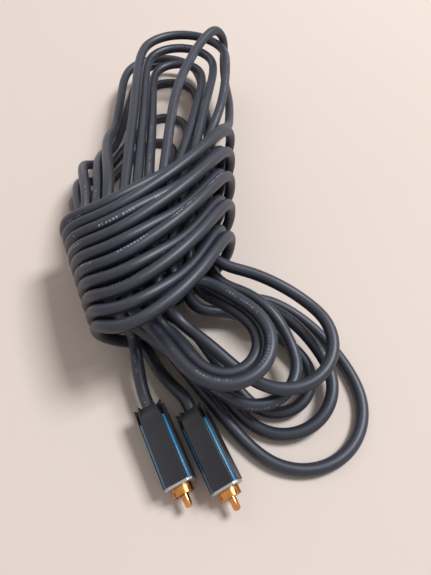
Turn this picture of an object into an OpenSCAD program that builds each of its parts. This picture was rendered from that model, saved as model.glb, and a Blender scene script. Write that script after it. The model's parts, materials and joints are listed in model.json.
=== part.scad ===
// Audio cable with a phono plug on each end, put away as a hank.
// One length of round cable is folded to and fro over a long narrow bundle, then wound ten times
// round the bundle's waist.  Both ends come out at the foot of the bundle, side by side.
// Millimetres, +Z up, the bundle lying on its back on z = 0, plugs pointing towards -Y.

/* [Cable] */
// outside diameter of the cable's jacket
cable_d = 6; // [4:0.5:9]
// how much the bundle's weight presses its lowest strands flat
press = 0.6; // [0.2:0.1:1]
// sides of the cable's faceted tube
cable_sides = 6; // [6:1:12]

/* [Waist wraps] */
// turns round the waist
wrap_turns = 10; // [6:1:12]
// how far every other turn is drawn in under its neighbours at its right end
wrap_seat = 6.8; // [4:0.1:7.5]
// height of the top of the wraps where they start, at the upper end
wrap_top_start = 49.2; // [40:1:60]
// height of the top of the wraps where they end
wrap_top_end = 47.5; // [40:1:60]
// extra height of the wraps at the middle of the waist
wrap_crown = 5.5; // [0:1:10]
// how far the top of each turn hangs back towards the plugs
wrap_lean = 26; // [10:1:40]

/* [Plug casing] */
// width across the flats of the square casing
casing_w = 13.2; // [11:0.1:16]
// length of the casing, wing tips to face
casing_l = 36; // [28:0.5:45]
// size of the 45 degree cut on each long corner
corner_cut = 2.1; // [1:0.1:3]
// bore of the casing that takes the metal body
casing_bore = 10.2; // [8:0.1:11]
// bore at the rear of the casing that takes the grommet
rear_bore = 8.5; // [7:0.1:9]
// length of the rear bore
rear_bore_l = 9; // [6:0.5:12]
// how far the pointed wings reach behind the flats
wing_l = 5.5; // [2:0.5:8]
// length of the open notch at the rear of each corner groove
notch_l = 7.5; // [4:0.5:12]

/* [Inlay strips] */
// width of each strip
inlay_w = 1.7; // [1:0.1:2.5]
// thickness of each strip
inlay_t = 0.8; // [0.4:0.1:1.2]

/* [Plug nose] */
// thickness of the face plate
face_t = 1.2; // [0.8:0.1:2]
// outside diameter of the slotted ground shell
shell_d = 9.2; // [8.6:0.1:10]
// bore of the ground shell, which grips the socket
shell_bore = 8.3; // [8:0.1:8.6]
// length of the ground shell in front of the face plate
shell_l = 3.6; // [3:0.1:9]
// number of slots in the ground shell
shell_slots = 4; // [2:1:6]
// width of each slot
slot_w = 0.8; // [0.4:0.1:1.5]
// diameter of the centre pin
pin_d = 3.2; // [3:0.05:3.4]
// length of the centre pin in front of the ground shell
pin_l = 5.4; // [4:0.1:9]
// outside diameter of the metal body's neck, which carries the shell and the face plate
neck_d = 8; // [7:0.1:9]

/* [Hidden] */

// what is taken off every position, so that the origin is under the middle of the whole bundle
bundle_centre = [15.7, 28.6, 0];
// where each plug's rear end lies, then its roll, its dip towards the pin, and its heading
plug_a = [[-5.8, -99.5, 9.2], [10, 3, -64]];
plug_b = [[13.4, -101, 9.6], [18, 3, -63]];

// ---- small helpers ----
function unit(v) = v / norm(v);
function mix(a, b, f) = a + (b - a) * f;
function ease(f) = f * f * (3 - 2 * f);
function limit(x, low, high) = min(max(x, low), high);
function flat(lists) = [for (list = lists) each list];
// point of a squared-off circle at an angle; a higher power is squarer
oval_power = 2.6;
function oval(a) =
    let (q = pow(pow(abs(cos(a)), oval_power) + pow(abs(sin(a)), oval_power), -1 / oval_power))
    [cos(a) * q, sin(a) * q];
function up_part(s) = max(s, 0);

// ---- the waist ----
// right and left ends of the first and the last turn, seen from above
wrap_right = [[35.1, 81.6], [33.1, -14.5]];
wrap_left = [[-56.1, -11.2], [-30.1, -70.4]];
// heights of the axis of a turn under the bundle and at its two ends
wrap_under = cable_d / 2;
wrap_side_h = 27;
// the flattened oval that the strands inside follow, one diameter and a gap within the wraps
strand_right = [[22.3, 72], [19.1, -20]];
strand_left = [[-45.9, -7.2], [-21.8, -62.5]];
strand_gap = 0.6;
strand_under = 9.8;
strand_lean = 26;
// half the way across the waist, which a deeper strand shortens in proportion
strand_half = 30;
// how sharply the lean grows towards the top, of the turns and of the strands
wrap_lean_power = 3;
strand_lean_power = 2;

function wrap_top(u) = mix(wrap_top_start, wrap_top_end, u) + wrap_crown * 4 * u * (1 - u);
function seat(i) = wrap_seat * ((i + 1) % 2);
// share of that seat at an angle from the right end: the turns crowd there, and elsewhere lie in
// one layer side by side
drawn_full_a = 50;
drawn_none_a = 110;
function drawn(a) = 1 - ease(limit((a - drawn_full_a) / (drawn_none_a - drawn_full_a), 0, 1));
// a point of the winding; the whole part of t counts turns, each starting at its right end
function wrap_point(t) =
    let (
        i = floor(t),
        f = t - i,
        right = mix(wrap_right[0], wrap_right[1], (f < 0.5 ? i : i + 1) / (wrap_turns - 1)),
        left = mix(wrap_left[0], wrap_left[1], i / (wrap_turns - 1)),
        half = (right - left) / 2,
        in = f < 0.5 ? seat(i) * drawn(360 * f) : seat(i + 1) * drawn(360 * (1 - f)),
        o = oval(360 * f),
        top = wrap_top(t / (wrap_turns - 0.5)) - in,
        plan = (right + left) / 2 + half * o[0] * (norm(half) - in) / norm(half),
        z = wrap_side_h + (o[1] > 0 ? top - wrap_side_h : wrap_side_h - wrap_under) * o[1]
    )
    [plan[0], plan[1] - wrap_lean * pow(up_part(o[1]), wrap_lean_power), z];
// a strand's place inside the wraps: u runs from 0, the upper end, to 1, the foot; a is the
// angle round the oval from its right end over the top; deep is the depth below the outer layer
function strand_point(u, a, deep = 0) =
    let (
        right = mix(strand_right[0], strand_right[1], u),
        left = mix(strand_left[0], strand_left[1], u),
        o = oval(a),
        top = wrap_top(u) - wrap_seat * drawn(abs(a)) - cable_d - strand_gap - deep,
        under = strand_under + deep,
        plan = (right + left) / 2 + (right - left) / 2 * o[0] * (1 - deep / strand_half)
    )
    [
        plan[0],
        plan[1] - strand_lean * pow(up_part(o[1]), strand_lean_power),
        (top + under) / 2 + (top - under) / 2 * o[1]
    ];
// the stations at which a strand is placed on its way through the waist, foot first
stations = [0.85, 0.5, 0.15];
function strand(foot_a, top_a, sink = 0) =
    [for (u = stations) strand_point(u, mix(top_a, foot_a, u), sink * 4 * u * (1 - u))];

// ---- the loops that stand out of the waist ----
// Each row: x, y and radius of the round end, height on the left and on the right, how far the
// left and the right leg bow outwards, and the strand's angle in the waist on each side.
top_loops = [
    [[-12, 171, 26], [10, 10], [0, 0], [132.5, -26]],
    [[-12, 158, 21], [3, 3], [0, 0], [150.5, -45.5]],
    [[-13, 115, 16], [3, 3], [0, 0], [173, -62]],
    [[-16, 90, 11], [3, 3], [0, 0], [197.5, -78.5]],
    [[-17, 160, 29], [18, 17.2], [0, 0], [121, 1.25]],
    [[2, 151, 31], [41, 38], [0, 3.5], [110, 33.05]],
    [[-3, 148, 18], [26, 25.5], [0, 1.5], [88.9, 68]],
    [[-1, 153, 24.5], [33, 30.9], [0, 0], [99, 51.85]]
];
// the first five loops leave the waist on the left, bulge out and duck under: the point on the
// way out, the widest point, and the point where the leg sets off for its round end
humps = [
    [[-40, 14, 38], [-46, 42, 31], [-49, 66, 20], [-46, 87, 10.5]],
    [[-46.5, 10, 35.5], [-53, 31, 30.5], [-59.5, 55, 20], [-57, 77, 4]],
    [[-51, 6, 28.5], [-57, 24, 24.5], [-61, 43, 16.5], [-56, 60, 3]],
    [[-53, 4, 21], [-60, 19, 18], [-63.5, 32, 12.5], [-56, 45, 3]],
    [[-34, 18, 42.5], [-40.5, 46, 35], [-45.5, 74, 26], [-45.5, 98, 18]]
];
// Each row: x, y and radius, heights, bow of the left leg and degrees by which the arc stops short
// on the right, height of the right leg, the left and the right foot where the loop leaves the
// waist, and the strand's angle in the waist on each side.
foot_loops = [
    [[64, -94.5, 31.5], [3, 3], [0, 42], 3.5, [-3, -66, 9], [24.8, -36, 11.3], [218, -17.4]],
    [[57, -86.5, 24.5], [3, 9], [0, 40], 12, [4, -62, 10], [20, -43, 16], [237, -48.3]],
    [[54.5, -83.5, 17.5], [3, 7], [0, 30], 7, [11, -58, 11], [14, -47, 12], [250, -64.2]],
    [],
    [[43, -80, 21], [15, 15], [0, 28], 21, [-10, -67, 23], [26, -37, 22.5], [140, 9.8]],
    [[56, -71, 25], [22, 23], [0, 14], 26, [6, -62, 28], [28, -32, 30], [85, 36.2]],
    [[29, -78, 21], [35, 35], [0, 10], 34, [-5, -69, 33], [19, -45, 34], [120, 70.5]],
    [[29, -76, 16], [29, 29], [0, 6], 28, [-1, -65, 27], [17, -46, 25.5], [103, 52.3]]
];
// how far beyond the waist's upper edge the strands begin, on the left and on the right
roots = [-0.05, -0.02];
// the empty row is a loop caught inside the waist: the strand down to it, its turn, and the
// strands up from it, each as a place along the waist, an angle and a depth
caught_fall = [0.15, -75, 2];
caught_rise = [[0.25, 152, 12], [0.02, 124.5, 3]];
caught = 3;
caught_turn = [[5, -17, 24], [3.8, -29.5, 19], [-4, -34, 18], [-11.8, -29.5, 18.5], [-13, -17, 24]];
last_loop = len(top_loops) - 1;
// the last loop hooks over the others at the upper end and comes back under them
hook_a = 78.3;
hook_sink = 14.5;
hook = [[0, 95, 47], [8, 131, 48.5], [16, 154, 49.5], [25, 170, 49], [31.5, 176.5, 38.5], [31, 166, 27],
        [32, 150, 22], [34, 134, 20]];
// where the hank hands over to the winding, and the way down to the first turn
wrap_start = [35, 118, 20];
wrap_start_way = [0, -1, 0];
to_first_turn = [[34.5, 101, 21], [34, 92, 23], [31.5, 83, 28]];
// where the winding hands over to the second lead, and the way there from the last turn
wrap_end = [-6, -75, 5.5];
wrap_end_way = [6, -10, 1];
from_last_turn = [[-21.5, -64.5, 6.6], [-14, -64, 5]];
// where the first lead hands over to the hank
hank_start = [-14, -72, 15];
hank_start_way = [-2, 10, 1];
lead_foot_a = 161.6;

// end of the tangent from a point to a circle, as an angle; side is 1 or -1, and the ratio is kept
// below this so that a point on the circle still has one
most_ratio = 0.999;
function tangent_angle(p, c, side) =
    let (v = [p[0] - c[0], p[1] - c[1]])
    atan2(v[1], v[0]) + side * acos(limit(c[2] / norm(v), 0, most_ratio));
function unwind(a, from, turn) =
    turn < 0 ? (a > from ? unwind(a - 360, from, turn) : a) : (a < from ? unwind(a + 360, from, turn) : a);
// a point on the way from p to q, pushed sideways by bow and set at height h
function bowed(p, q, f, bow, h) =
    let (m = mix(p, q, f), d = unit([q[0] - p[0], q[1] - p[1]]))
    [m[0] + d[1] * bow, m[1] - d[0] * bow, h];
// round end of an upper loop between its left and its right root
arc_points = 7;
// height of a parabola a third of the way along, as a share of its height in the middle
leg_swell = 8 / 9;
function round_end(c, heights, bows, left, right) =
    let (
        a0 = tangent_angle(left, c, -1),
        a1 = unwind(tangent_angle(right, c, 1), a0, -1),
        arc = [for (i = [0:arc_points - 1])
            let (f = i / (arc_points - 1), a = mix(a0, a1, f))
            [c[0] + c[2] * cos(a), c[1] + c[2] * sin(a), mix(heights[0], heights[1], (1 - cos(180 * f)) / 2)]],
        last = arc[arc_points - 1]
    )
    [
        bowed(left, arc[0], 0.5, -bows[0], (left[2] + arc[0][2]) / 2),
        each arc,
        bowed(right, last, 0.5, bows[1], (right[2] + last[2]) / 2)
    ];
function back_to_front(list) = [for (i = [len(list) - 1:-1:0]) list[i]];

function left_leg(k) =
    k < len(humps) ? humps[k] : [strand_point(roots[0], top_loops[k][3][0])];
function top_loop(k) =
    let (
        row = top_loops[k],
        left = left_leg(k),
        right = strand_point(roots[1], row[3][1])
    )
    [
        if (k < len(humps)) strand_point(roots[0], row[3][0]),
        each left,
        each round_end(row[0], row[1], row[2], left[len(left) - 1], right),
        right
    ];
// round end at the foot: its arc stops some degrees before the right tangent, and the right leg
// swells outwards in a parabola that meets the arc without a kink
function foot_loop(k) =
    let (
        row = foot_loops[k],
        c = row[0],
        left = row[4],
        right = row[5],
        a0 = tangent_angle(left, c, 1),
        a1 = unwind(tangent_angle(right, c, -1), a0, 1) - row[2][1],
        arc = [for (i = [0:arc_points - 1])
            let (f = i / (arc_points - 1), a = mix(a0, a1, f))
            [c[0] + c[2] * cos(a), c[1] + c[2] * sin(a), mix(row[1][0], row[1][1], (1 - cos(180 * f)) / 2)]],
        end = arc[arc_points - 1],
        chord = [end[0] - right[0], end[1] - right[1]],
        turn = (chord[0] * cos(a1) + chord[1] * sin(a1)) / (chord[0] * sin(a1) - chord[1] * cos(a1)),
        swell = -norm(chord) * turn / 4 * leg_swell
    )
    [
        right,
        bowed(right, end, 1 / 3, swell, (right[2] + row[3]) / 2),
        bowed(right, end, 2 / 3, swell, row[3]),
        each back_to_front(arc),
        bowed(left, arc[0], 0.5, row[2][0], (left[2] + arc[0][2]) / 2),
        left
    ];
// up the left side of the waist to loop k
function rise(k) =
    k == caught + 1 ? [for (p = caught_rise) strand_point(p[0], p[1], p[2])]
    : strand(k == 0 ? lead_foot_a : foot_loops[k - 1][6][0], top_loops[k][3][0]);
// down the right side from loop k, round the foot and back to the left side
function fall(k) =
    k == caught ? [strand_point(caught_fall[0], caught_fall[1], caught_fall[2]), each caught_turn]
    : [each back_to_front(strand(foot_loops[k][6][1], top_loops[k][3][1])), each foot_loop(k)];

straight = cable_d;
function before(p, way) = p - straight * unit(way);
function beyond(p, way) = p + straight * unit(way);
function pressed(path) = [for (p = path) p - [0, 0, press]];

hank_path = pressed([
    hank_start,
    beyond(hank_start, hank_start_way),
    each flat([for (k = [0:last_loop]) [each rise(k), each top_loop(k), each fall(k)]]),
    each strand(foot_loops[last_loop][6][0], hook_a, hook_sink),
    strand_point(roots[0], hook_a),
    each hook,
    before(wrap_start, wrap_start_way),
    wrap_start
]);
turn_rings = 24;
wrap_path = pressed([
    wrap_start,
    beyond(wrap_start, wrap_start_way),
    each to_first_turn,
    each [for (q = [2:round((wrap_turns - 0.5) * turn_rings)]) wrap_point(q / turn_rings)],
    each from_last_turn,
    before(wrap_end, wrap_end_way),
    wrap_end
]);

// ---- the two free leads ----
function plug_way(place) =
    let (dip = place[1][1], heading = place[1][2])
    [cos(dip) * cos(heading), cos(dip) * sin(heading), -sin(dip)];
function plug_point(place, x) = place[0] + x * plug_way(place);
// the jacket ends this far inside the plug, and runs straight this far behind it
jacket_end = 14;
jacket_mid = 4;
lead_a_mid = [-11, -86, 11.3];
lead_b_mid = [4, -88.5, 7.8];
lead_sides = 8;
lead_a_path = [
    for (x = [jacket_end, jacket_mid, -straight]) plug_point(plug_a, x),
    lead_a_mid,
    each pressed([before(hank_start, hank_start_way), hank_start])
];
lead_b_path = [
    each pressed([wrap_end, beyond(wrap_end, wrap_end_way)]),
    lead_b_mid,
    for (x = [-straight, jacket_mid, jacket_end]) plug_point(plug_b, x)
];

// ---- a round tube through a list of points, flat where it would go below the ground ----
function way_at(path, i) =
    let (last = len(path) - 1)
    i == 0 ? unit(path[1] - path[0])
    : i == last ? unit(path[last] - path[last - 1])
    : unit(unit(path[i] - path[i - 1]) + unit(path[i + 1] - path[i]));
function upright(v, way) = unit(v - (v * way) * way);
// the side vector of every ring, carried along from the one before without twist
function sides_of(path, ways) =
    [for (i = 0, s = upright([0, 0, 1], ways[0]); i < len(path);
        i = i + 1, s = i < len(path) ? upright(s, ways[i]) : s) s];
module tube(path, d, sides) {
    last = len(path) - 1;
    ways = [for (i = [0:last]) way_at(path, i)];
    across = sides_of(path, ways);
    points = [for (i = [0:last]) let (other = cross(ways[i], across[i])) for (k = [0:sides - 1])
        let (a = 360 * k / sides, p = path[i] + d / 2 * (cos(a) * across[i] + sin(a) * other))
        [p[0], p[1], max(p[2], 0)]];
    faces = [
        for (i = [0:last - 1]) for (k = [0:sides - 1])
            let (n = (k + 1) % sides, a = i * sides, b = a + sides)
            each [[a + k, b + k, b + n], [a + k, b + n, a + n]],
        for (k = [1:sides - 2]) each [[0, k, k + 1], [last * sides, last * sides + k + 1, last * sides + k]]
    ];
    translate(-bundle_centre)
        polyhedron(points, faces);
}

// ---- least gap of the cable to itself ----
function dot_ratio(a, b) = b < 1e-9 ? 0 : limit(a / b, 0, 1);
// least distance between the segments p to p + u and q to q + v
function segment_gap(p, u, q, v) =
    let (
        w = p - q,
        uu = u * u,
        vv = v * v,
        uv = u * v,
        first = dot_ratio(uv * (v * w) - vv * (u * w), uu * vv - uv * uv),
        t = limit((uv * first + v * w) / vv, 0, 1),
        s = limit((uv * t - u * w) / uu, 0, 1)
    )
    norm(w + s * u - t * v);
function run_lengths(path) =
    [for (i = 0, sum = 0; i < len(path);
        i = i + 1, sum = i < len(path) ? sum + norm(path[i] - path[i - 1]) : sum) sum];
// stretches of cable nearer along the cable than this are neighbours, not turns lying side by side
neighbour_run = 3 * cable_d;
reach = 2 * cable_d;
function least_gap(path) =
    let (n = len(path) - 1, run = run_lengths(path))
    min([for (i = [0:n - 2]) for (j = [i + 2:n - 1])
        if (run[j] - run[i + 1] > neighbour_run
            && norm(path[i] + path[i + 1] - path[j] - path[j + 1]) / 2
                < reach + (run[i + 1] - run[i] + run[j + 1] - run[j]) / 2)
            segment_gap(path[i], path[i + 1] - path[i], path[j], path[j + 1] - path[j])]) - cable_d;
// the whole cable, end to end, without the points that two pieces share
function but_first(path) = [for (i = [1:len(path) - 1]) path[i]];
whole_path = [
    each lead_a_path,
    each but_first(hank_path),
    each but_first(wrap_path),
    each but_first(lead_b_path)
];
union() {
    echo("least gap of the cable to itself, mm", least_gap(whole_path));
    echo("length of the cable, mm", run_lengths(whole_path)[len(whole_path) - 1]);
}

module hank_loops() {
    color("#50525c") tube(hank_path, cable_d, cable_sides);
}
module waist_wrap() {
    color("#565862") tube(wrap_path, cable_d, cable_sides);
}
module lead_a() {
    color("#50525c") tube([for (i = [len(lead_a_path) - 1:-1:0]) lead_a_path[i]], cable_d, lead_sides);
}
module lead_b() {
    color("#50525c") tube(lead_b_path, cable_d, lead_sides);
}

// ---- the plug, drawn along +X from the tips of its wings ----
$fn = 28;
cut_through = 1;
// walls of the casing: beside the rear pockets at the rear and at the front, which leaves the
// wings, and under the pockets' floor at the rear
wing_rear = 2.4;
wing_front = 3.4;
pocket_wall = 0.65;
pocket_rear = casing_w / 2 - wing_rear;
pocket_front = casing_w / 2 - wing_front;
pocket_floor = rear_bore / 2 + pocket_wall;
// the open notch is this much wider and deeper than the strip's channel
notch_wider = 0.5;
notch_deeper = 0.8;
notch_w = inlay_w + notch_wider;
notch_deep = inlay_t + notch_deeper;
corner_reach = (casing_w - corner_cut) / sqrt(2);
// room round the jacket in the grommet and the ferrule, and the ferrule's wall
cable_clear = 0.3;
ferrule_wall = 0.7;
ferrule_bore = cable_d + 2 * cable_clear;
ferrule_d = ferrule_bore + 2 * ferrule_wall;
grommet_x = 2;
// the metal body: its tail is as wide as the ferrule, its flange sits behind the casing's front,
// and its neck reaches past the face plate
body_rear = jacket_end;
tail_d = ferrule_d;
dielectric_d = 3.7;
dielectric_clear = 0.15;
body_bore = dielectric_d + 2 * dielectric_clear;
flange_l = 3;
flange_back = 3;
flange_x = casing_l - flange_back - flange_l;
neck_reach = 1.2;
neck_end = casing_l + face_t + neck_reach;
neck_wall = 0.8;
insulator_d = neck_d - 2 * neck_wall;
// the face plate is set in from the casing's flats all round, and so is its corner cut
face_margin = 0.3;
face_w = casing_w - 2 * face_margin;
cut_margin = 0.2;
face_cut = corner_cut - cut_margin;
shell_end = casing_l + face_t + shell_l;
slot_l = 2.2;
// the pin has a thinner shank through the insulator and a solder cup at its rear
pin_behind = 3;
pin_rear = flange_x - pin_behind;
shank_d = 2.4;
tip_l = 1;
tip_shoulder_l = 0.35;
tip_shoulder = 0.3;
cup_d = 1.2;
cup_l = 4;
cup_end = pin_rear + cup_l;
core_gap = 1;
dielectric_end = pin_rear - core_gap;

module at_plug(place) {
    translate(place[0] - bundle_centre)
        rotate(place[1])
            children();
}
module rod(d, x0, x1) {
    translate([x0, 0, 0])
        rotate([0, 90, 0])
            cylinder(d = d, h = x1 - x0);
}
// a flat outline in Y and Z, drawn out along +X
module bar(x0, x1) {
    translate([x0, 0, 0])
        rotate([90, 0, 90])
            linear_extrude(x1 - x0)
                children();
}
module cut_square(w, cut) {
    h = w / 2;
    polygon([
        [-h + cut, -h], [h - cut, -h], [h, -h + cut], [h, h - cut],
        [h - cut, h], [-h + cut, h], [-h, h - cut], [-h, -h + cut]
    ]);
}
// what is cut from the top flat between two wings
module rear_pocket() {
    far = casing_w;
    intersection() {
        linear_extrude(far)
            polygon([
                [-cut_through, -pocket_rear], [0, -pocket_rear], [wing_l, -pocket_front],
                [wing_l, pocket_front], [0, pocket_rear], [-cut_through, pocket_rear]
            ]);
        translate([0, far, 0])
            rotate([90, 0, 0])
                linear_extrude(2 * far)
                    polygon([
                        [-cut_through, pocket_floor], [0, pocket_floor], [wing_l, casing_w / 2],
                        [wing_l, far], [-cut_through, far]
                    ]);
    }
}
// a square-bottomed channel along one long corner
module corner_channel(w, deep, x0, x1) {
    rotate([45, 0, 0])
        translate([x0, -w / 2, corner_reach - deep])
            cube([x1 - x0, w, deep + cut_through]);
}
module casing() {
    difference() {
        bar(0, casing_l) cut_square(casing_w, corner_cut);
        rod(rear_bore, -cut_through, rear_bore_l + cut_through);
        rod(casing_bore, rear_bore_l, casing_l + cut_through);
        for (side = [0:3])
            rotate([90 * side, 0, 0]) {
                rear_pocket();
                corner_channel(notch_w, notch_deep, -cut_through, notch_l);
                corner_channel(inlay_w, inlay_t, 0, casing_l + cut_through);
            }
    }
}
// strip in the corner channel; side 0 is the upper left corner seen from behind
module inlay(side) {
    rotate([90 * side + 45, 0, 0])
        translate([notch_l, -inlay_w / 2, corner_reach - inlay_t])
            cube([casing_l - notch_l, inlay_w, inlay_t]);
}
module face_plate() {
    difference() {
        bar(casing_l, casing_l + face_t) cut_square(face_w, face_cut);
        rod(neck_d, casing_l - cut_through, casing_l + face_t + cut_through);
    }
}
module ground_shell() {
    base = casing_l + face_t;
    difference() {
        rod(shell_d, base, shell_end);
        rod(neck_d, base - cut_through, neck_end);
        rod(shell_bore, neck_end, shell_end + cut_through);
        for (i = [0:shell_slots - 1])
            rotate([45 + 360 * i / shell_slots, 0, 0])
                translate([shell_end - slot_l, -slot_w / 2, 0])
                    cube([slot_l + cut_through, slot_w, shell_d]);
    }
}
module insulator() {
    difference() {
        rod(insulator_d, flange_x + flange_l, neck_end);
        rod(shank_d, flange_x, neck_end + cut_through);
    }
}
module centre_pin() {
    r = pin_d / 2;
    tip = shell_end + pin_l;
    rotate([0, 90, 0])
        rotate_extrude()
            polygon([
                [cup_d / 2, pin_rear], [shank_d / 2, pin_rear], [shank_d / 2, neck_end], [r, neck_end],
                [r, tip - tip_l], [r - tip_shoulder, tip - tip_shoulder_l],
                [r - tip_l, tip], [0, tip], [0, cup_end], [cup_d / 2, cup_end]
            ]);
}
module metal_body() {
    difference() {
        union() {
            rod(tail_d, body_rear, flange_x + flange_l);
            rod(casing_bore, flange_x, flange_x + flange_l);
            rod(neck_d, flange_x + flange_l, neck_end);
        }
        rod(body_bore, body_rear - cut_through, neck_end);
        rod(insulator_d, flange_x + flange_l, neck_end + cut_through);
    }
}
module grommet() {
    difference() {
        rod(rear_bore, grommet_x, rear_bore_l);
        rod(ferrule_bore, 0, rear_bore_l + cut_through);
    }
}
module ferrule() {
    difference() {
        rod(ferrule_d, rear_bore_l, body_rear);
        rod(ferrule_bore, 0, body_rear + cut_through);
    }
}
module dielectric() {
    rod(dielectric_d, jacket_end, dielectric_end);
}
module conductor() {
    rod(cup_d, dielectric_end, cup_end);
}

module plug_a_casing() {
    color("#2b2b30") at_plug(plug_a) casing();
}
module plug_a_inlay_1() {
    color("#2f8fc4") at_plug(plug_a) inlay(0);
}
module plug_a_inlay_2() {
    color("#2f8fc4") at_plug(plug_a) inlay(1);
}
module plug_a_inlay_3() {
    color("#2f8fc4") at_plug(plug_a) inlay(2);
}
module plug_a_inlay_4() {
    color("#2f8fc4") at_plug(plug_a) inlay(3);
}
module plug_a_face_plate() {
    color("#c9cdd2") at_plug(plug_a) face_plate();
}
module plug_a_ground_shell() {
    color("#c98a2e") at_plug(plug_a) ground_shell();
}
module plug_a_insulator() {
    color("#f0efe8") at_plug(plug_a) insulator();
}
module plug_a_centre_pin() {
    color("#cf9134") at_plug(plug_a) centre_pin();
}
module plug_a_body() {
    color("#b8862f") at_plug(plug_a) metal_body();
}
module plug_a_grommet() {
    color("#1c1c1f") at_plug(plug_a) grommet();
}
module plug_a_ferrule() {
    color("#a9adb3") at_plug(plug_a) ferrule();
}
module plug_a_dielectric() {
    color("#f4f2ea") at_plug(plug_a) dielectric();
}
module plug_a_conductor() {
    color("#b8703a") at_plug(plug_a) conductor();
}
module plug_b_casing() {
    color("#2b2b30") at_plug(plug_b) casing();
}
module plug_b_inlay_1() {
    color("#2f8fc4") at_plug(plug_b) inlay(0);
}
module plug_b_inlay_2() {
    color("#2f8fc4") at_plug(plug_b) inlay(1);
}
module plug_b_inlay_3() {
    color("#2f8fc4") at_plug(plug_b) inlay(2);
}
module plug_b_inlay_4() {
    color("#2f8fc4") at_plug(plug_b) inlay(3);
}
module plug_b_face_plate() {
    color("#c9cdd2") at_plug(plug_b) face_plate();
}
module plug_b_ground_shell() {
    color("#c98a2e") at_plug(plug_b) ground_shell();
}
module plug_b_insulator() {
    color("#f0efe8") at_plug(plug_b) insulator();
}
module plug_b_centre_pin() {
    color("#cf9134") at_plug(plug_b) centre_pin();
}
module plug_b_body() {
    color("#b8862f") at_plug(plug_b) metal_body();
}
module plug_b_grommet() {
    color("#1c1c1f") at_plug(plug_b) grommet();
}
module plug_b_ferrule() {
    color("#a9adb3") at_plug(plug_b) ferrule();
}
module plug_b_dielectric() {
    color("#f4f2ea") at_plug(plug_b) dielectric();
}
module plug_b_conductor() {
    color("#b8703a") at_plug(plug_b) conductor();
}

hank_loops();
waist_wrap();
lead_a();
lead_b();
plug_a_casing();
plug_a_inlay_1();
plug_a_inlay_2();
plug_a_inlay_3();
plug_a_inlay_4();
plug_a_face_plate();
plug_a_ground_shell();
plug_a_insulator();
plug_a_centre_pin();
plug_a_body();
plug_a_grommet();
plug_a_ferrule();
plug_a_dielectric();
plug_a_conductor();
plug_b_casing();
plug_b_inlay_1();
plug_b_inlay_2();
plug_b_inlay_3();
plug_b_inlay_4();
plug_b_face_plate();
plug_b_ground_shell();
plug_b_insulator();
plug_b_centre_pin();
plug_b_body();
plug_b_grommet();
plug_b_ferrule();
plug_b_dielectric();
plug_b_conductor();
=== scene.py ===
"""Looks of a round audio cable with a phono plug on each end, folded into a hank and wound
round its waist.  Everything is in metres in the part's own frame."""

import json
import math

import bmesh
import bpy
import numpy as np
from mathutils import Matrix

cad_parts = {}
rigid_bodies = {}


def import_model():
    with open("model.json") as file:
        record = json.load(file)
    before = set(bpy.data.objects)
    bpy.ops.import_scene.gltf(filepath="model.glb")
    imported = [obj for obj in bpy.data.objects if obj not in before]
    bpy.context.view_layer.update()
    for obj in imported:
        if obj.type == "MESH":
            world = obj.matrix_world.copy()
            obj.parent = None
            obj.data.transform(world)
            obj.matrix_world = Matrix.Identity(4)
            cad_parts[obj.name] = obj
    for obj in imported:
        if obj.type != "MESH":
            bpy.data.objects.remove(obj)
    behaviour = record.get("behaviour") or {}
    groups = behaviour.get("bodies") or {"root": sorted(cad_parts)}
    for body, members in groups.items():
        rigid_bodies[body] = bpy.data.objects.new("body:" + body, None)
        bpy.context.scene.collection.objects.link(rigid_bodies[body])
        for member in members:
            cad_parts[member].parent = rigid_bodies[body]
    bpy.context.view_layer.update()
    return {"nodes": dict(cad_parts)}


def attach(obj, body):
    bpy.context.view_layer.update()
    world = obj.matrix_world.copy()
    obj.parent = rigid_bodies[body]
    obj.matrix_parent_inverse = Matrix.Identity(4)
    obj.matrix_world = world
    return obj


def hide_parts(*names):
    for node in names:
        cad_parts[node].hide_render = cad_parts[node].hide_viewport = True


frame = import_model()
MM = 0.001

# ---------------------------------------------------------------- camera and lamps


def look_down(place, pitch, lens):
    """Camera at a place in metres, looking along +Y and tipped down by pitch degrees."""
    data = bpy.data.cameras.new("camera")
    data.lens = lens
    data.sensor_width = 36
    data.clip_start = 0.01
    data.clip_end = 20
    camera = bpy.data.objects.new("camera", data)
    camera.location = place
    camera.rotation_euler = (math.radians(90 - pitch), 0, 0)
    bpy.context.scene.collection.objects.link(camera)
    bpy.context.scene.camera = camera


def soft_box(name, place, side, watts, tint):
    """Square area lamp that faces the origin."""
    data = bpy.data.lights.new(name, "AREA")
    data.shape = "SQUARE"
    data.size = side
    data.energy = watts
    data.color = tint
    lamp = bpy.data.objects.new(name, data)
    lamp.location = place
    x, y, z = place
    lamp.rotation_euler = (math.atan2(math.hypot(x, y), z), 0, math.atan2(x, -y))
    bpy.context.scene.collection.objects.link(lamp)


look_down(place=(9.3 * MM, -193.6 * MM, 205 * MM), pitch=56, lens=26.92)
bpy.context.scene.view_settings.view_transform = "Standard"

# ---------------------------------------------------------------- shader expressions


class Nodes:
    """A node tree, and the one call that adds a node to it."""

    def __init__(self, tree):
        self.tree = tree
        tree.nodes.clear()

    def node(self, kind, settings=(), output=0, **sockets):
        """Adds one node: first its settings, then the values or links of its sockets."""
        made = self.tree.nodes.new("ShaderNode" + kind)
        for key, value in dict(settings).items():
            if key == "stops":
                ramp = made.color_ramp.elements
                while len(ramp) > 1:
                    ramp.remove(ramp[-1])
                ramp[0].position, ramp[0].color = value[0]
                for place, tone in value[1:]:
                    ramp.new(place).color = tone
            else:
                setattr(made, key, value)
        for key, value in sockets.items():
            key = key.replace("_", " ")
            socket = made.inputs[int(key[2:])] if key.startswith("in") else made.inputs[key]
            self.feed(value, socket)
        return None if output is None else Value(self, made.outputs[output])

    def feed(self, value, socket):
        """Puts a number, colour or other node's output into a socket."""
        if isinstance(value, Value):
            self.tree.links.new(value.socket, socket)
        else:
            socket.default_value = value


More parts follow.
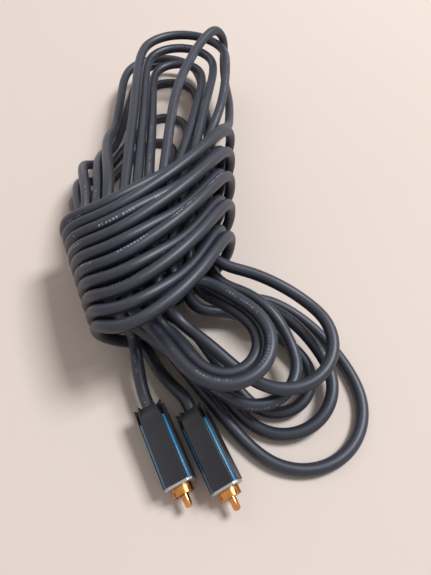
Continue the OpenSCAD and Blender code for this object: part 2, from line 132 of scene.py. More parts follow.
class Shade(Nodes):
    """One procedural material with its Principled shader."""

    def __init__(self, name, **constants):
        self.material = bpy.data.materials.new(name)
        self.material.use_nodes = True
        super().__init__(self.material.node_tree)
        self.shader = self.tree.nodes.new("ShaderNodeBsdfPrincipled")
        self.node("OutputMaterial", output=None, Surface=Value(self, self.shader.outputs[0]))
        for socket, value in constants.items():
            self.shader.inputs[socket.replace("_", " ")].default_value = value

    def set(self, name, value):
        """Gives one of the shader's sockets a value or a node's output."""
        self.feed(value, self.shader.inputs[name])

    def objects(self):
        """Object coordinates, in metres."""
        return self.node("TexCoord", output="Object")

    def surface(self):
        """The piece's own UV map."""
        return self.node("UVMap", {"uv_map": "UVMap"})

    def noise(self, where, scale, detail, rough=0.5):
        """Cloudy values from about 0.3 to 0.7, scale of them to the metre."""
        return self.node("TexNoise", Vector=where, Scale=scale, Detail=detail, Roughness=rough)

    def blend(self, factor, first, second):
        """Mixes two colours by a factor."""
        return self.node("Mix", {"data_type": "RGBA"}, 2, in0=factor, in6=first, in7=second)

    def bump(self, height, distance, strength):
        """Fine relief: the height times the distance, in metres, tilts the surface."""
        normal = self.node("Bump", Height=height, Distance=distance, Strength=strength)
        self.set("Normal", normal)


class Value:
    """A node's output that takes part in plain arithmetic."""

    def __init__(self, shade, socket):
        self.shade, self.socket = shade, socket

    def maths(self, operation, a, b=0.0, clamp=False):
        """Adds one Math node."""
        return self.shade.node("Math", {"operation": operation, "use_clamp": clamp}, in0=a, in1=b)

    def __add__(self, other):
        return self.maths("ADD", self, other)

    def __radd__(self, other):
        return self.maths("ADD", other, self)

    def __sub__(self, other):
        return self.maths("SUBTRACT", self, other)

    def __rsub__(self, other):
        return self.maths("SUBTRACT", other, self)

    def __mul__(self, other):
        return self.maths("MULTIPLY", self, other)

    def __rmul__(self, other):
        return self.maths("MULTIPLY", other, self)

    def __abs__(self):
        return self.maths("ABSOLUTE", self)

    def __lt__(self, other):
        return self.maths("LESS_THAN", self, other)

    def __mod__(self, other):
        return self.maths("FLOORED_MODULO", self, other)

    def clamped(self):
        """The value, held between 0 and 1."""
        return self.maths("ADD", self, 0.0, True)

    def repeats(self, period, filled):
        """1 on the first, filled part of every period, 0 on the rest."""
        return (self % period) < filled

    def part(self, axis):
        """One of a vector's three numbers."""
        return self.shade.node("SeparateXYZ", output=axis, Vector=self)


def colour(text):
    """Linear colour, fully opaque, from its usual screen code, such as 4b4d57."""
    parts = [int(text[i:i + 2], 16) / 255 for i in (0, 2, 4)]
    linear = [c / 12.92 if c <= 0.04045 else ((c + 0.055) / 1.055) ** 2.4 for c in parts]
    return (*linear, 1.0)


# ---------------------------------------------------------------- the cable's route
# The same values as in the part's source, in millimetres; they become metres at the end.

CABLE_D = 6.0
# how far the lowest strands are pressed flat, and the middle of the whole bundle
PRESS, BUNDLE_CENTRE = 0.6, np.array([15.7, 28.6, 0])
# each plug's rear end, then its roll, its dip towards the pin and its heading
PLUGS = {
    "a": ((-5.8, -99.5, 9.2), (10, 3, -64)),
    "b": ((13.4, -101, 9.6), (18, 3, -63)),
}
# The winding: its turns; how far every other one is drawn in, and the angles from its right end up
# to which it is drawn in fully and past which not at all; the height of its top at both ends, the
# extra height at the middle, and how far each turn's top hangs back towards the plugs.
TURNS, SEAT = 10, 6.8
DRAWN_FULL_A, DRAWN_NONE_A = 50, 110
TOP_START, TOP_END, CROWN, LEAN = 49.2, 47.5, 5.5, 26.0
# right and left ends of the first and the last turn, seen from above, and the ends' height
WRAP_RIGHT = np.array([[35.1, 81.6], [33.1, -14.5]])
WRAP_LEFT = np.array([[-56.1, -11.2], [-30.1, -70.4]])
WRAP_SIDE_H = 27.0
# The oval that the strands inside follow: its ends, its gap to the turns, the height of its
# underside, its lean, and half the way across, which a deeper strand shortens in proportion.
STRAND_RIGHT = np.array([[22.3, 72], [19.1, -20]])
STRAND_LEFT = np.array([[-45.9, -7.2], [-21.8, -62.5]])
STRAND_GAP, STRAND_UNDER, STRAND_LEAN, STRAND_HALF = 0.6, 9.8, 26, 30
# where along the waist a strand is placed, foot first, and where the upper loops leave it on the
# left and the right, just beyond its end
STATIONS, ROOTS = (0.85, 0.5, 0.15), (-0.05, -0.02)
# Loops of the upper end: x, y and radius of the round end, its height on the left and the right,
# how far the left and the right leg bow outwards, and the strand's angle in the waist on each side.
TOP_LOOPS = (
    ((-12, 171, 26), (10, 10), (0, 0), (132.5, -26)),
    ((-12, 158, 21), (3, 3), (0, 0), (150.5, -45.5)),
    ((-13, 115, 16), (3, 3), (0, 0), (173, -62)),
    ((-16, 90, 11), (3, 3), (0, 0), (197.5, -78.5)),
    ((-17, 160, 29), (18, 17.2), (0, 0), (121, 1.25)),
    ((2, 151, 31), (41, 38), (0, 3.5), (110, 33.05)),
    ((-3, 148, 18), (26, 25.5), (0, 1.5), (88.9, 68)),
    ((-1, 153, 24.5), (33, 30.9), (0, 0), (99, 51.85)),
)
# The first five of them bulge out on the left and duck under: points on that way.
HUMPS = (
    ((-40, 14, 38), (-46, 42, 31), (-49, 66, 20), (-46, 87, 10.5)),
    ((-46.5, 10, 35.5), (-53, 31, 30.5), (-59.5, 55, 20), (-57, 77, 4)),
    ((-51, 6, 28.5), (-57, 24, 24.5), (-61, 43, 16.5), (-56, 60, 3)),
    ((-53, 4, 21), (-60, 19, 18), (-63.5, 32, 12.5), (-56, 45, 3)),
    ((-34, 18, 42.5), (-40.5, 46, 35), (-45.5, 74, 26), (-45.5, 98, 18)),
)
# Loops at the foot: circle and heights as above, bow of the left leg and degrees by which the arc
# stops short on the right, height of the right leg, the points where the loop leaves the waist on
# the left and the right, and the strand's angles.  The empty row is the loop caught inside.
FOOT_LOOPS = (
    ((64, -94.5, 31.5), (3, 3), (0, 42), 3.5, (-3, -66, 9), (24.8, -36, 11.3), (218, -17.4)),
    ((57, -86.5, 24.5), (3, 9), (0, 40), 12, (4, -62, 10), (20, -43, 16), (237, -48.3)),
    ((54.5, -83.5, 17.5), (3, 7), (0, 30), 7, (11, -58, 11), (14, -47, 12), (250, -64.2)),
    None,
    ((43, -80, 21), (15, 15), (0, 28), 21, (-10, -67, 23), (26, -37, 22.5), (140, 9.8)),
    ((56, -71, 25), (22, 23), (0, 14), 26, (6, -62, 28), (28, -32, 30), (85, 36.2)),
    ((29, -78, 21), (35, 35), (0, 10), 34, (-5, -69, 33), (19, -45, 34), (120, 70.5)),
    ((29, -76, 16), (29, 29), (0, 6), 28, (-1, -65, 27), (17, -46, 25.5), (103, 52.3)),
)
# height of a parabola a third of the way along, as a share of its height in the middle
LEG_SWELL = 8 / 9
# The caught loop: the strand down to it and the strands up from it, each as a place along the
# waist, an angle and a depth, and its turn.
CAUGHT, CAUGHT_FALL = 3, (0.15, -75, 2)
CAUGHT_RISE = ((0.25, 152, 12), (0.02, 124.5, 3))
CAUGHT_TURN = ((5, -17, 24), (3.8, -29.5, 19), (-4, -34, 18), (-11.8, -29.5, 18.5), (-13, -17, 24))
# the last loop hooks over the others at the upper end and comes back under them
HOOK_A, HOOK_SINK = 78.3, 14.5
HOOK = ((0, 95, 47), (8, 131, 48.5), (16, 154, 49.5), (25, 170, 49), (31.5, 176.5, 38.5),
        (31, 166, 27), (32, 150, 22), (34, 134, 20))
# where the hank becomes the winding and the winding the second lead, each as a point and its
# direction, with the way to the first turn and from the last one
WRAP_START, WRAP_START_WAY = (35, 118, 20), (0, -1, 0)
TO_FIRST_TURN = ((34.5, 101, 21), (34, 92, 23), (31.5, 83, 28))
WRAP_END, WRAP_END_WAY = (-6, -75, 5.5), (6, -10, 1)
FROM_LAST_TURN = ((-21.5, -64.5, 6.6), (-14, -64, 5))
# where the first lead becomes the hank, its strand's angle at the foot, and one point on each lead
HANK_START, HANK_START_WAY, LEAD_FOOT_A = (-14, -72, 15), (-2, 10, 1), 161.6
LEAD_A_MID, LEAD_B_MID = (-11, -86, 11.3), (4, -88.5, 7.8)
# how far inside the plug the jacket ends, and a point on the way there
JACKET_END, JACKET_MID = 14.0, 4.0
# points of the route in a turn of the winding and in a round end, and the power of the waist's oval
POINTS_A_TURN, POINTS_AN_ARC, SQUARED = 24, 7, 2.6


def unit(v):
    """The vector at length 1."""
    v = np.asarray(v, float)
    return v / np.linalg.norm(v)


def mix(a, b, f):
    """Share f of the way from a to b."""
    return a + (b - a) * f


def oval(a):
    """Point of a squared-off circle: cosine and sine, both divided by the 2.6-norm of the pair."""
    c, s = math.cos(math.radians(a)), math.sin(math.radians(a))
    q = (abs(c) ** SQUARED + abs(s) ** SQUARED) ** (-1 / SQUARED)
    return c * q, s * q


def wrap_top(u):
    """Height of the winding's top at a share u of its length: a straight line plus a parabola."""
    return mix(TOP_START, TOP_END, u) + CROWN * 4 * u * (1 - u)


def drawn(a):
    """Share of the seat by which a turn is drawn in, at an angle from its right end."""
    f = min(max((a - DRAWN_FULL_A) / (DRAWN_NONE_A - DRAWN_FULL_A), 0), 1)
    return 1 - f * f * (3 - 2 * f)


def wrap_point(t):
    """Point of the winding: the whole part of t counts turns, each a leaning oval over the bundle,
    every other one drawn in under its neighbours at its right end."""
    i = math.floor(t)
    f = t - i
    turn = i if f < 0.5 else i + 1
    right = mix(WRAP_RIGHT[0], WRAP_RIGHT[1], turn / (TURNS - 1))
    left = mix(WRAP_LEFT[0], WRAP_LEFT[1], i / (TURNS - 1))
    half = (right - left) / 2
    seat = SEAT * ((turn + 1) % 2) * drawn(360 * min(f, 1 - f))
    x, y = oval(360 * f)
    top = wrap_top(t / (TURNS - 0.5)) - seat
    size = np.linalg.norm(half)
    plan = (right + left) / 2 + half * x * (size - seat) / size
    reach = top - WRAP_SIDE_H if y > 0 else WRAP_SIDE_H - CABLE_D / 2
    return np.array([plan[0], plan[1] - LEAN * max(y, 0) ** 3, WRAP_SIDE_H + reach * y])


def strand_point(u, a, deep=0.0):
    """A strand's place inside the winding: u from the upper end to the foot, a the angle round the
    oval from its right end over the top, deep the depth below the outer layer."""
    right = mix(STRAND_RIGHT[0], STRAND_RIGHT[1], u)
    left = mix(STRAND_LEFT[0], STRAND_LEFT[1], u)
    x, y = oval(a)
    top = wrap_top(u) - SEAT * drawn(abs(a)) - CABLE_D - STRAND_GAP - deep
    under = STRAND_UNDER + deep
    plan = (right + left) / 2 + (right - left) / 2 * x * (1 - deep / STRAND_HALF)
    return np.array([plan[0], plan[1] - STRAND_LEAN * max(y, 0) ** 2,
                     (top + under) / 2 + (top - under) / 2 * y])


def strand(foot_a, top_a, sink=0.0):
    """A strand's three stations through the waist, foot first."""
    return [strand_point(u, mix(top_a, foot_a, u), sink * 4 * u * (1 - u)) for u in STATIONS]


def tangent_angle(p, c, side):
    """Angle, in degrees, of the point where a line from p touches the circle c."""
    v = np.array([p[0] - c[0], p[1] - c[1]])
    return math.degrees(math.atan2(v[1], v[0])) + side * math.degrees(
        math.acos(min(0.999, c[2] / np.linalg.norm(v))))


def bowed(p, q, f, bow, h):
    """Point on the way from p to q, pushed sideways by bow, at height h."""
    p, q = np.asarray(p[:2], float), np.asarray(q[:2], float)
    d = unit(q - p)
    m = mix(p, q, f)
    return np.array([m[0] + d[1] * bow, m[1] - d[0] * bow, h])


def arc_between(c, heights, a0, a1):
    """Points of a circle between two angles; their heights run in half a cosine wave."""
    f = np.linspace(0, 1, POINTS_AN_ARC)
    a = np.radians(mix(a0, a1, f))
    return np.stack([c[0] + c[2] * np.cos(a), c[1] + c[2] * np.sin(a),
                     mix(heights[0], heights[1], (1 - np.cos(np.pi * f)) / 2)], 1)


def top_loop(k):
    """Loop of the upper end: left root, for the first five the bulge, round end, right root."""
    c, heights, bows, (left_a, right_a) = TOP_LOOPS[k]
    start, right = strand_point(ROOTS[0], left_a), strand_point(ROOTS[1], right_a)
    left = [start, *HUMPS[k]] if k < len(HUMPS) else [start]
    root = left[-1]
    a0, a1 = tangent_angle(root, c, -1), tangent_angle(right, c, 1)
    arc = arc_between(c, heights, a0, a1 - 360 if a1 > a0 else a1)
    return [*left, bowed(root, arc[0], 0.5, -bows[0], (root[2] + arc[0][2]) / 2), *arc,
            bowed(right, arc[-1], 0.5, bows[1], (right[2] + arc[-1][2]) / 2), right]


def foot_loop(k):
    """Loop at the foot, right root first.  Its arc stops some degrees before the right tangent, and
    the right leg swells in a parabola whose slope at the arc is the arc's own."""
    c, heights, (left_bow, short), leg_h, left, right, _ = FOOT_LOOPS[k]
    a0, a1 = tangent_angle(left, c, 1), tangent_angle(right, c, -1)
    a1 = (a1 + 360 if a1 < a0 else a1) - short
    arc = arc_between(c, heights, a0, a1)
    end = arc[-1]
    x, y = end[0] - right[0], end[1] - right[1]
    cos, sin = math.cos(math.radians(a1)), math.sin(math.radians(a1))
    swell = -math.hypot(x, y) * (x * cos + y * sin) / (x * sin - y * cos) / 4 * LEG_SWELL
    return [right, bowed(right, end, 1 / 3, swell, (right[2] + leg_h) / 2),
            bowed(right, end, 2 / 3, swell, leg_h), *arc[::-1],
            bowed(left, arc[0], 0.5, left_bow, (left[2] + arc[0][2]) / 2), left]


def rise(k):
    """Up the left side of the waist to loop k, for the first one from the lead."""
    if k == CAUGHT + 1:
        return [strand_point(*p) for p in CAUGHT_RISE]
    return strand(LEAD_FOOT_A if k == 0 else FOOT_LOOPS[k - 1][6][0], TOP_LOOPS[k][3][0])


def fall(k):
    """Down the right side from loop k, round the foot and back to the left side."""
    if k == CAUGHT:
        return [strand_point(*CAUGHT_FALL), *CAUGHT_TURN]
    return [*strand(FOOT_LOOPS[k][6][1], TOP_LOOPS[k][3][1])[::-1], *foot_loop(k)]


def plug_axes(plug):
    """A plug's own axes as columns: rolled about X, then dipped about Y, then headed about Z."""
    (cr, sr), (cd, sd), (ch, sh) = ((math.cos(a), math.sin(a)) for a in map(math.radians, plug[1]))
    roll = np.array([[1, 0, 0], [0, cr, -sr], [0, sr, cr]])
    dip = np.array([[cd, 0, sd], [0, 1, 0], [-sd, 0, cd]])
    heading = np.array([[ch, -sh, 0], [sh, ch, 0], [0, 0, 1]])
    return heading @ dip @ roll


def plug_point(plug, x):
    """Point on a plug's axis, x ahead of its rear end."""
    return np.array(plug[0], float) + x * plug_axes(plug)[:, 0]


def shift(p, way, by):
    """The point, moved along a way by a distance."""
    return np.asarray(p, float) + by * unit(way)


def whole_route():
    """Every point of the cable, from inside plug A to inside plug B, in metres."""
    down = np.array([0, 0, PRESS])
    hank = [HANK_START, shift(HANK_START, HANK_START_WAY, CABLE_D)]
    for k in range(len(TOP_LOOPS)):
        hank += [*rise(k), *top_loop(k), *fall(k)]
    hank += [*strand(FOOT_LOOPS[-1][6][0], HOOK_A, HOOK_SINK), strand_point(ROOTS[0], HOOK_A),
             *HOOK, shift(WRAP_START, WRAP_START_WAY, -CABLE_D), WRAP_START]
    wrap = [shift(WRAP_START, WRAP_START_WAY, CABLE_D), *TO_FIRST_TURN,
            *[wrap_point(q / POINTS_A_TURN)
              for q in range(2, round((TURNS - 0.5) * POINTS_A_TURN) + 1)],
            *FROM_LAST_TURN, shift(WRAP_END, WRAP_END_WAY, -CABLE_D), WRAP_END]
    middle = [np.asarray(p, float) - down for p in
              [shift(HANK_START, HANK_START_WAY, -CABLE_D), *hank, *wrap,
               shift(WRAP_END, WRAP_END_WAY, CABLE_D)]]
    inside = (JACKET_END, JACKET_MID, -CABLE_D)
    lead_a = [*[plug_point(PLUGS["a"], x) for x in inside], np.array(LEAD_A_MID)]
    lead_b = [np.array(LEAD_B_MID), *[plug_point(PLUGS["b"], x) for x in inside[::-1]]]
    return (np.array([*lead_a, *middle, *lead_b]) - BUNDLE_CENTRE) * MM


def smooth(points, step, cuts=24):
    """Curve through the points: between two points a cubic, cut up evenly, whose end slopes come
    from the chords on both sides, each weighted by the square root of its length; then points that
    lie a step apart along it."""
    chord = np.sqrt(np.linalg.norm(np.diff(points, axis=0), axis=1))
    p = np.vstack([2 * points[0] - points[1], points, 2 * points[-1] - points[-2]])
    d = np.concatenate([chord[:1], chord, chord[-1:]])[:, None]
    p0, p1, p2, p3 = p[:-3], p[1:-2], p[2:-1], p[3:]
    d0, d1, d2 = d[:-2], d[1:-1], d[2:]
    m1 = d1 * ((p1 - p0) / d0 - (p2 - p0) / (d0 + d1) + (p2 - p1) / d1)
    m2 = d1 * ((p2 - p1) / d1 - (p3 - p1) / (d1 + d2) + (p3 - p2) / d2)
    t = np.linspace(0, 1, cuts, endpoint=False)[None, :, None]
    a, b, ma, mb = p1[:, None], p2[:, None], m1[:, None], m2[:, None]
    curve = ((2 * t**3 - 3 * t**2 + 1) * a + (t**3 - 2 * t**2 + t) * ma
             + (-2 * t**3 + 3 * t**2) * b + (t**3 - t**2) * mb).reshape(-1, 3)
    curve = np.vstack([curve, points[-1]])
    run = np.concatenate([[0], np.cumsum(np.linalg.norm(np.diff(curve, axis=0), axis=1))])
    even = np.linspace(0, run[-1], round(run[-1] / step) + 1)
    return np.stack([np.interp(even, run, curve[:, i]) for i in range(3)], 1)


def let_out(points, width, step, kept=8, eased=16):
    """The path with its small kinks let out: every point becomes the average of its neighbours,
    weighted by a bell curve of the given width, cut off at four widths.  The first and last kept
    points, inside the plugs, stay put, and the change comes in over the eased points after them."""
    m = round(4 * width / step)
    bell = np.exp(-(np.arange(-m, m + 1) * step / width) ** 2 / 2)
    soft = np.stack([np.convolve(np.pad(points[:, i], m, mode="edge"), bell / bell.sum(), "valid")
                     for i in range(3)], 1)
    from_end = np.minimum(np.arange(len(points)), np.arange(len(points))[::-1])
    f = np.clip((from_end - kept) / eased, 0, 1)[:, None]
    return points + (soft - points) * f * f * (3 - 2 * f)


# ---------------------------------------------------------------- the cable


def grid_mesh(name, rings, u, v):
    """Closed tube from a grid of points (ring, around): quads between neighbours, one face on each
    end, and a UV map of the given distances along and around."""
    n, m, _ = rings.shape
    verts = rings.reshape(-1, 3)
    i, k = np.meshgrid(np.arange(n - 1), np.arange(m), indexing="ij")
    here, ahead, beside = i * m, (i + 1) * m, (k + 1) % m
    quads = np.stack([here + k, here + beside, ahead + beside, ahead + k], -1).reshape(-1, 4)
    corners = [(i, k), (i, k + 1), (i + 1, k + 1), (i + 1, k)]
    uv = np.stack([np.stack([u[p], v[q]], -1) for p, q in corners], 2).reshape(-1, 2)
    faces = quads.tolist() + [list(range(m - 1, -1, -1)), list(range((n - 1) * m, n * m))]
    uv = np.vstack([uv, np.zeros((2 * m, 2))])
    mesh = bpy.data.meshes.new(name)
    mesh.from_pydata(verts.tolist(), [], faces)
    mesh.uv_layers.new(name="UVMap").data.foreach_set("uv", uv.astype(np.float32).ravel())
    mesh.polygons.foreach_set("use_smooth", np.ones(len(faces), bool))
    mesh.update()
    piece = bpy.data.objects.new(name, mesh)
    bpy.context.scene.collection.objects.link(piece)
    return piece


def carried_sides(ways):
    """A side vector for every point of a path, carried from one to the next without twist."""
    sides = np.empty_like(ways)
    side = np.array([0.0, 0.0, 1.0])
    for i, way in enumerate(ways):
        side = side - (side @ way) * way
        side /= np.linalg.norm(side)
        sides[i] = side
    return sides


def cable_mesh(name, centres, d, sides):
    """Round tube: each ring is centre + radius (cos a side + sin a other), and what would go below
    the ground lies flat on it."""
    ways = np.gradient(centres, axis=0)
    ways /= np.linalg.norm(ways, axis=1)[:, None]
    side = carried_sides(ways)
    other = np.cross(ways, side)
    a = np.linspace(0, 2 * np.pi, sides, endpoint=False)
    rings = centres[:, None] + d / 2 * (np.cos(a)[None, :, None] * side[:, None]
                                        + np.sin(a)[None, :, None] * other[:, None])
    rings[..., 2] = np.maximum(rings[..., 2], 0)
    run = np.concatenate([[0], np.cumsum(np.linalg.norm(np.diff(centres, axis=0), axis=1))])
    return grid_mesh(name, rings, run, np.linspace(0, 1, sides + 1))


# Distance between rings and width of the bell curve, both in millimetres, and points in a ring.
RING_STEP, KINK_WIDTH, CABLE_SIDES = 2.0, 4.5, 18

route = whole_route()
centres = let_out(smooth(route, RING_STEP * MM), KINK_WIDTH * MM, RING_STEP * MM)
cable = cable_mesh("cable", centres, CABLE_D * MM, CABLE_SIDES)
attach(cable, "root")
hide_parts("hank_loops", "waist_wrap", "lead_a", "lead_b")

# ---------------------------------------------------------------- the plugs' pieces

WELD = 2e-6
STRIP_SHARE = 0.66


def merged_copy(node, name):
    """A copy of a CAD node's mesh with its loose triangles joined into flat faces."""
    mesh = frame["nodes"][node].data.copy()
    mesh.name = name
    work = bmesh.new()
    work.from_mesh(mesh)
    bmesh.ops.remove_doubles(work, verts=work.verts, dist=WELD)
    bmesh.ops.dissolve_limit(work, angle_limit=math.radians(1), verts=work.verts, edges=work.edges)
    work.to_mesh(mesh)
    work.free()
    return mesh


def bevelled(node, mesh, name, width):
    """A piece that stands for a CAD node, with its edges rounded by width, in metres."""
    piece = bpy.data.objects.new(name, mesh)
    bpy.context.scene.collection.objects.link(piece)
    round_off = piece.modifiers.new("rounded edges", "BEVEL")
    round_off.width = width
    round_off.segments = 3
    round_off.limit_method = "ANGLE"
    round_off.angle_limit = math.radians(30)
    mesh.polygons.foreach_set("use_smooth", np.ones(len(mesh.polygons), bool))
    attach(piece, "root")
    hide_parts(node)
    return piece


def in_plug(points, plug):
    """Points from a plug's own millimetres to the part's metres."""
    return (points @ plug_axes(plug).T + np.array(plug[0]) - BUNDLE_CENTRE) * MM


CASING_W, CASING_L, CASING_BORE = 13.2, 36.0, 10.2
REAR_BORE, REAR_BORE_L, REAR_EDGE_X = 8.5, 9.0, 1.9
# Stations along the casing: x, half width and floor of the pocket in each flat, size of the
# corner's cut, then the slot or channel in it: half width at its top and its bottom, depth.
CASING_STATIONS = np.array([
    [0.0, 3.0, 4.75, 2.9, 1.5, 0.6, 1.9], [1.8, 3.4, 5.36, 2.7, 1.3, 0.7, 1.95],
    [3.6, 3.8, 5.98, 2.45, 1.1, 0.8, 2.0], [5.4, 4.1, 6.58, 2.25, 0.98, 0.9, 2.1],
    [7.4, 4.1, 6.59, 2.1, 0.85, 0.85, 2.2], [7.5, 4.1, 6.59, 2.1, 0.85, 0.85, 0.8],
    [16.0, 4.1, 6.59, 2.1, 0.85, 0.85, 0.8], [26.0, 4.1, 6.59, 2.1, 0.85, 0.85, 0.8],
    [CASING_L, 4.1, 6.59, 2.1, 0.85, 0.85, 0.8],
])
# How far each point of a quarter's outline stands forward of the wing's tip at the rear end, and
# the share of it that is left at the next station.
NEXT_SLANT = 0.6
WING_SLANT = np.array([0.9, 0.8, 0.4, 0.0, 1.3, 2.0, 2.0, 1.3, 0.0, 0.4, 0.8])


def casing_rings():
    """Outer outlines of the casing at its stations.  A quarter runs from the middle of one flat to
    the next: pocket floor, pocket wall, flat, 45 degree cut with a slot in it, flat, pocket wall;
    the other three quarters are the same, turned by 90 degrees each."""
    x, w, f, cut, wide, narrow, deep = CASING_STATIONS.T
    h, r = CASING_W / 2 + 0 * x, math.sqrt(0.5)
    mid = h - cut / 2
    y = [0 * x, w, w, h - cut, mid - wide * r, mid - (narrow + deep) * r,
         mid + (narrow - deep) * r, mid + wide * r, h, h, f]
    z = [f, f, h, h, mid + wide * r, mid + (narrow - deep) * r,
         mid - (narrow + deep) * r, mid - wide * r, h - cut, w, w]
    rings = np.stack([np.tile(x, (len(y), 1)), y, z], 2).transpose(1, 0, 2).copy()
    rings[0, :, 0] += WING_SLANT
    rings[1, :, 0] += WING_SLANT * NEXT_SLANT
    turns = [rings]
    for _ in range(3):
        last = turns[-1]
        turns.append(np.stack([last[..., 0], last[..., 2], -last[..., 1]], 2))
    return np.concatenate(turns, 1)


def casing_mesh(name, plug):
    """Closed casing: the outer rings to the front, then back through two bores to the rear."""
    outer = casing_rings()
    a = np.arctan2(outer[-1, :, 1], outer[-1, :, 2])

    def bore(x, d):
        """Round ring at x, its points at the same angles as the outline's."""
        return np.stack([np.full_like(a, x), d / 2 * np.sin(a), d / 2 * np.cos(a)], 1)[None]

    rings = np.concatenate([outer, bore(CASING_L, CASING_BORE), bore(REAR_BORE_L, CASING_BORE),
                            bore(REAR_BORE_L, REAR_BORE), bore(REAR_EDGE_X, REAR_BORE)])
    n, m, _ = rings.shape
    i, k = np.meshgrid(np.arange(n), np.arange(m), indexing="ij")
    here, ahead, beside = i * m, (i + 1) % n * m, (k + 1) % m
    quads = np.stack([here + k, here + beside, ahead + beside, ahead + k], -1)
    mesh = bpy.data.meshes.new(name)
    verts = in_plug(rings.reshape(-1, 3), plug)
    mesh.from_pydata(verts.tolist(), [], quads.reshape(-1, 4).tolist())
    work = bmesh.new()
    work.from_mesh(mesh)
    bmesh.ops.remove_doubles(work, verts=work.verts, dist=WELD)
    bmesh.ops.recalc_face_normals(work, faces=work.faces)
    work.to_mesh(mesh)
    work.free()
    return mesh


def narrowed(mesh, plug, turn, share):
    """A strip's copy made narrower: in the strip's own frame, turned to its corner, its width is
    multiplied by a share."""
    flat = np.empty(len(mesh.vertices) * 3)
    mesh.vertices.foreach_get("co", flat)
    a = math.radians(turn)
    corner = np.array([[1, 0, 0], [0, math.cos(a), -math.sin(a)], [0, math.sin(a), math.cos(a)]])
    axes = plug_axes(plug) @ corner
    origin = (np.array(plug[0]) - BUNDLE_CENTRE) * MM
    own = (flat.reshape(-1, 3) - origin) @ axes
    own[:, 1] *= share
    mesh.vertices.foreach_set("co", (own @ axes.T + origin).ravel())
    mesh.update()


def dress(piece, material):
    """Gives a piece its one material."""
    piece.data.materials.clear()
    piece.data.materials.append(material)


# ---------------------------------------------------------------- materials
# The row of ticks on the jacket, in metres along it and in turns around it.  Groups, the clusters
# in a group and the ticks in a cluster each have a period and the part of it that they fill.

GROUP, CLUSTER, TICK = (0.43, 0.15), (0.031, 0.019), (0.0017, 0.001)
ROW, ROW_HALF = 0.955, 0.029
WINDING_START = 5.4


def jacket_rubber():
    """Matte blue-grey soft plastic: fine grain, faint scuffs, and along one side a worn row of
    short pale ticks, in groups, where such a jacket carries its printing."""
    shade = Shade("jacket_rubber", Specular_IOR_Level=0.5, Coat_Weight=0.45, Coat_Roughness=0.41,
                  Coat_Tint=colour("dfe6ff"))
    place = shade.objects()
    cloud = shade.noise(place, 45.0, 3.0)
    grain = shade.noise(place, 2600.0, 2.0)
    scuff = shade.noise(place, 380.0, 4.0, 0.65)
    stops = [(0.3, colour("1c1e26")), (0.7, colour("292b34"))]
    tone = shade.node("ValToRGB", {"stops": stops}, in0=cloud)
    worn = shade.blend(((scuff - 0.6) * 5.0).clamped() * 0.35, tone, colour("646875"))
    surface = shade.surface()
    along, around = surface.part(0), surface.part(1)
    marks = along.repeats(*GROUP) * along.repeats(*CLUSTER) * along.repeats(*TICK)
    row = abs(around - ROW) < ROW_HALF
    # the ticks are fresher on the winding
    fresh = 0.3 + ((along - WINDING_START) * 5.0).clamped() * 0.4
    left = ((scuff - 0.42) * 8.0).clamped() * fresh
    shade.set("Base Color", shade.blend(marks * row * left, worn, colour("b4b8c2")))
    shade.set("Roughness", 0.42 + scuff * 0.16)
    shade.bump(grain * 0.6 + scuff * 0.7, 0.0001, 0.6)
    return shade.material


def casing_satin():
    """Anthracite moulded casing, satin, with a cloudy tone and a very fine grain."""
    shade = Shade("casing_satin", Specular_IOR_Level=0.5)
    place = shade.objects()
    grain = shade.noise(place, 5200.0, 2.0)
    cloud = shade.noise(place, 160.0, 3.0)
    shade.set("Base Color", shade.blend(cloud, colour("19191e"), colour("232329")))
    shade.set("Roughness", 0.33 + cloud * 0.12)
    shade.bump(grain, 0.00003, 0.4)
    return shade.material


def strip_blue():
    """Glossy blue plastic strip."""
    shade = Shade("strip_blue", Coat_Weight=0.5, Coat_Roughness=0.12)
    place = shade.objects()
    cloud = shade.noise(place, 320.0, 3.0)
    shade.set("Base Color", shade.blend(cloud, colour("1871a0"), colour("2889b8")))
    shade.set("Roughness", 0.24 + cloud * 0.1)
    return shade.material


def plate_satin():
    """Pale satin metal plate with fine brushing."""
    shade = Shade("plate_satin", Metallic=0.85)
    place = shade.objects()
    lines = shade.noise(shade.node("Mapping", in0=place, in3=(400.0, 400.0, 6000.0)), 1.0, 2.0)
    shade.set("Base Color", shade.blend(lines, colour("a9abb0"), colour("c3c4c8")))
    shade.set("Roughness", 0.3 + lines * 0.14)
    shade.bump(lines, 0.000015, 0.3)
    return shade.material


def gold(name, warm, rough):
    """Plated brass: a warm metal with faint tarnish and turning marks."""
    shade = Shade(name, Metallic=1.0)
    place = shade.objects()
    tarnish = shade.noise(place, 420.0, 4.0, 0.6)
    marks = shade.noise(place, 6500.0, 2.0)
    shade.set("Base Color", shade.blend((tarnish - 0.35) * 1.6, colour(warm), colour("a86a34")))
    shade.set("Roughness", rough + tarnish * 0.14)
    shade.bump(marks, 0.000012, 0.35)
    return shade.material


def plain_plastic(name, first, second, rough):
    """Moulded plastic or rubber whose tone and gloss drift slightly."""
    shade = Shade(name, Specular_IOR_Level=0.5)
    place = shade.objects()
    cloud = shade.noise(place, 300.0, 3.0)
    grain = shade.noise(place, 4800.0, 2.0)
    shade.set("Base Color", shade.blend(cloud, colour(first), colour(second)))
    shade.set("Roughness", rough + cloud * 0.12)
    shade.bump(grain, 0.00002, 0.3)
    return shade.material


def drawn_metal(name, first, second, rough):
    """Bare drawn or crimped metal."""
    shade = Shade(name, Metallic=1.0)
    cloud = shade.noise(shade.objects(), 900.0, 3.0)
    shade.set("Base Color", shade.blend(cloud, colour(first), colour(second)))
    shade.set("Roughness", rough + cloud * 0.15)
    return shade.material


blue = strip_blue()
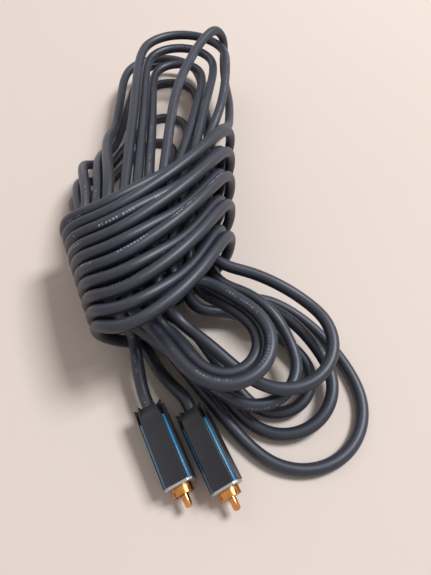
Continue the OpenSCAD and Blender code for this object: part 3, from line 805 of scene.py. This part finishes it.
# For each of a plug's parts: its material, its slot, and the rounding of its edges in millimetres,
# where 0 leaves the CAD node as it is.
LOOKS = {
    "casing": (casing_satin(), "casing", 0.22),
    **{f"inlay_{k}": (blue, "inlay", 0.12) for k in (1, 2, 3, 4)},
    "face_plate": (plate_satin(), "face_plate", 0.15),
    "ground_shell": (gold("shell_gold", "dc9a58", 0.2), "gold", 0.12),
    "centre_pin": (gold("pin_gold", "e0a062", 0.12), "gold", 0.25),
    "insulator": (plain_plastic("white_insulator", "e9e7de", "f3f2ec", 0.4), "white_insulator", 0),
    "body": (drawn_metal("brass_body", "b78a38", "c99a45", 0.3), "body", 0),
    "grommet": (plain_plastic("grommet_rubber", "17171a", "202024", 0.6), "grommet", 0),
    "ferrule": (drawn_metal("ferrule_steel", "9fa3a8", "b4b7bb", 0.3), "ferrule", 0),
    "dielectric": (plain_plastic("core_white", "ecebe4", "f5f4ef", 0.45), "white_insulator", 0),
    "conductor": (drawn_metal("bare_copper", "b06a3c", "c47f4b", 0.3), "conductor", 0),
}

dress(cable, jacket_rubber())
plug_pieces = {"a": [], "b": []}
for side in "ab":
    for part, (material, slot_name, width) in LOOKS.items():
        node = f"plug_{side}_{part}"
        if width:
            name = f"{node}_finished"
            mesh = casing_mesh(name, PLUGS[side]) if part == "casing" else merged_copy(node, name)
            if part.startswith("inlay"):
                narrowed(mesh, PLUGS[side], 45 + 90 * (int(part[-1]) - 1), STRIP_SHARE)
            piece = bevelled(node, mesh, name, width * MM)
        else:
            piece = frame["nodes"][node]
        dress(piece, material)
        plug_pieces[side].append(piece)

# ---------------------------------------------------------------- floor, room and lamps


def pale_floor():
    """Plain pale floor, a little warm."""
    shade = Shade("pale_floor", Roughness=0.9, Specular_IOR_Level=0.1)
    cloud = shade.noise(shade.objects(), 2.0, 2.0)
    shade.set("Base Color", shade.blend(cloud, colour("e4d2c6"), colour("e9dacf")))
    return shade.material


FLOOR_HALF, FLOOR_Z = 3.0, -0.0002
floor_corners = FLOOR_HALF * np.array([[-1, -1, 0], [1, -1, 0], [1, 1, 0], [-1, 1, 0]])
floor_mesh = bpy.data.meshes.new("floor")
floor_mesh.from_pydata(floor_corners.tolist(), [], [(0, 1, 2, 3)])
floor = bpy.data.objects.new("floor", floor_mesh)
floor.location.z = FLOOR_Z
floor_mesh.materials.append(pale_floor())
bpy.context.scene.collection.objects.link(floor)

world = bpy.data.worlds.new("room")
bpy.context.scene.world = world
world.use_nodes = True
room = Nodes(world.node_tree)
# The walls are brighter where they are seen, straight, in a reflection or through glass, than in
# the light that they give.
seen = sum(room.node("LightPath", output=f"Is {ray} Ray")
           for ray in ("Camera", "Glossy", "Transmission"))
walls = room.node("Background", Color=colour("f8f6f6"), Strength=0.34 + seen.clamped() * 0.4)
room.node("OutputWorld", output=None, Surface=walls)
soft_box("window", place=(1.35, 0.55, 2.1), side=0.8, watts=60, tint=(0.91, 0.955, 1.0))
soft_box("fill", place=(-0.7, 0.6, 1.0), side=0.8, watts=1.5, tint=(1.0, 0.95, 0.92))
